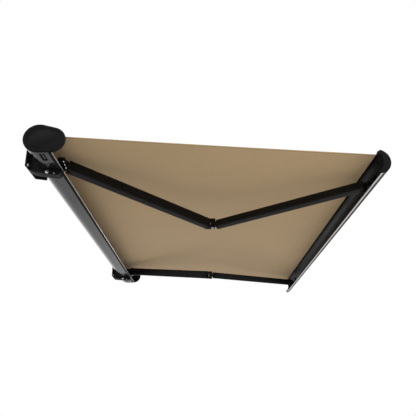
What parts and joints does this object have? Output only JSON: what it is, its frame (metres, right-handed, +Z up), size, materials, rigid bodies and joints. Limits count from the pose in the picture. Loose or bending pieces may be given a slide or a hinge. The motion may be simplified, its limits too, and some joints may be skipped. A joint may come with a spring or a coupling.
{
  "type": "canvas awning",
  "caption": "Wall-mounted full-cassette folding-arm awning with a tensioned cloth cover, a crescent front bar, drooping spring arms and wall brackets",
  "frame": {"origin": "on the wall plane, halfway along the cassette, level with the middle of the cassette's rear curve", "axes": "X runs along the cassette, -Y points away from the wall, Z is up"},
  "size_m": [3.5286, 2.5214, 0.4005],
  "materials": {
    "anthracite_coat": "satin powder coat",
    "grey_aluminium": "grey metallic extrusion",
    "black_casting": "black coated aluminium",
    "bright_steel": "bright stainless",
    "galvanised_steel": "zinc plated",
    "pale_aluminium": "satin anodised",
    "black_rubber": "matte brush and rubber",
    "grey_plastic": "matte",
    "tan_cloth": "woven acrylic awning cloth"
  },
  "bodies": {
    "cassette": {"cassette_housing": "grey_aluminium", "setting_window_plate": "galvanised_steel", "left_end_cap": "anthracite_coat", "right_end_cap": "anthracite_coat", "left_end_plate": "galvanised_steel", "right_end_plate": "galvanised_steel", "lower_lip_trim": "pale_aluminium", "lip_brush_seal": "black_rubber", "left_wall_bracket": "black_casting", "right_wall_bracket": "black_casting", "left_cradle_bolt": "bright_steel", "right_cradle_bolt": "bright_steel", "left_clamp_screw": "bright_steel", "right_clamp_screw": "bright_steel", "left_wall_bolt": "bright_steel", "right_wall_bolt": "bright_steel", "tubular_motor": "grey_plastic", "fabric_cover": "tan_cloth", "left_shoulder_mount": "black_casting", "right_shoulder_mount": "black_casting"},
    "roller": {"roller_tube": "galvanised_steel", "wound_fabric": "tan_cloth", "idler_plug": "grey_plastic", "drive_crown": "grey_plastic"},
    "left_shoulder": {"left_shoulder_fork": "black_casting", "left_shoulder_pin": "galvanised_steel", "left_spigot_ring": "galvanised_steel"},
    "left_upper_arm": {"left_shoulder_casting": "black_casting", "left_upper_arm_tube": "black_casting", "left_elbow_fork": "black_casting", "left_arm_spring": "galvanised_steel", "left_arm_cable": "galvanised_steel", "left_elbow_pin": "galvanised_steel"},
    "left_forearm": {"left_elbow_eye": "black_casting", "left_forearm_tube": "black_casting", "left_front_casting": "black_casting"},
    "left_front_joint": {"left_front_fork": "black_casting", "left_front_pin": "galvanised_steel"},
    "front_bar": {"front_bar_profile": "anthracite_coat", "front_lip_strip": "pale_aluminium", "left_bar_end_cap": "anthracite_coat", "right_bar_end_cap": "anthracite_coat", "keder_rod": "grey_plastic", "left_bar_mount": "black_casting", "right_bar_mount": "black_casting"},
    "right_shoulder": {"right_shoulder_fork": "black_casting", "right_shoulder_pin": "galvanised_steel", "right_spigot_ring": "galvanised_steel"},
    "right_upper_arm": {"right_shoulder_casting": "black_casting", "right_upper_arm_tube": "black_casting", "right_elbow_fork": "black_casting", "right_arm_spring": "galvanised_steel", "right_arm_cable": "galvanised_steel", "right_elbow_pin": "galvanised_steel"},
    "right_forearm": {"right_elbow_eye": "black_casting", "right_forearm_tube": "black_casting", "right_front_casting": "black_casting"},
    "right_front_joint": {"right_front_fork": "black_casting", "right_front_pin": "galvanised_steel"}
  },
  "joints": [
    {"name": "left_shoulder_roll", "type": "hinge", "parent": "cassette", "child": "left_shoulder", "pos_m": [-1.445, -0.228, -0.026], "axis": [0, -0.9976, -0.0698], "range_deg": [0, 13]},
    {"name": "left_shoulder_hinge", "type": "hinge", "parent": "left_shoulder", "child": "left_upper_arm", "pos_m": [-1.445, -0.228, -0.026], "axis": [0.225, -0.068, 0.972], "range_deg": [0, 59.91], "deforming": ["fabric_cover"]},
    {"name": "left_elbow_hinge", "type": "hinge", "parent": "left_upper_arm", "child": "left_forearm", "pos_m": [-0.84114, -1.34121, -0.2436], "axis": [0.225, -0.068, 0.972], "range_deg": [-119.83, 0]},
    {"name": "left_front_hinge", "type": "hinge", "parent": "left_forearm", "child": "left_front_joint", "pos_m": [-1.445, -2.47386, -0.18305], "axis": [0.225, -0.068, 0.972], "range_deg": [0, 59.91]},
    {"name": "left_front_roll", "type": "hinge", "parent": "left_front_joint", "child": "front_bar", "pos_m": [-1.445, -2.47386, -0.18305], "axis": [0, -0.9976, -0.0698], "range_deg": [-13, 0]},
    {"name": "right_shoulder_roll", "type": "hinge", "parent": "cassette", "child": "right_shoulder", "pos_m": [1.445, -0.228, -0.026], "axis": [0, -0.9976, -0.0698], "range_deg": [-13, 0]},
    {"name": "right_shoulder_hinge", "type": "hinge", "parent": "right_shoulder", "child": "right_upper_arm", "pos_m": [1.445, -0.228, -0.026], "axis": [-0.225, -0.068, 0.972], "range_deg": [-59.91, 0]},
    {"name": "right_elbow_hinge", "type": "hinge", "parent": "right_upper_arm", "child": "right_forearm", "pos_m": [0.84114, -1.34121, -0.2436], "axis": [-0.225, -0.068, 0.972], "range_deg": [0, 119.83]},
    {"name": "right_front_roll", "type": "hinge", "parent": "front_bar", "child": "right_front_joint", "pos_m": [1.445, -2.47386, -0.18305], "axis": [0, -0.9976, -0.0698], "range_deg": [-13, 0]},
    {"name": "roller_turn", "type": "hinge", "parent": "cassette", "child": "roller", "pos_m": [0, -0.125, 0.017], "axis": [1, 0, 0], "range_deg": [-3036, 0]}
  ],
  "couplings": [
    {"joint": "left_shoulder_roll", "follows": "left_shoulder_hinge", "ratio": 0.21697},
    {"joint": "left_elbow_hinge", "follows": "left_shoulder_hinge", "ratio": -2},
    {"joint": "left_front_hinge", "follows": "left_shoulder_hinge", "ratio": 1},
    {"joint": "left_front_roll", "follows": "left_shoulder_hinge", "ratio": -0.21697},
    {"joint": "right_shoulder_roll", "follows": "left_shoulder_hinge", "ratio": -0.21697},
    {"joint": "right_shoulder_hinge", "follows": "left_shoulder_hinge", "ratio": -1},
    {"joint": "right_elbow_hinge", "follows": "left_shoulder_hinge", "ratio": 2},
    {"joint": "right_front_roll", "follows": "left_shoulder_hinge", "ratio": -0.21697},
    {"joint": "roller_turn", "follows": "left_shoulder_hinge", "ratio": -50.66}
  ]
}
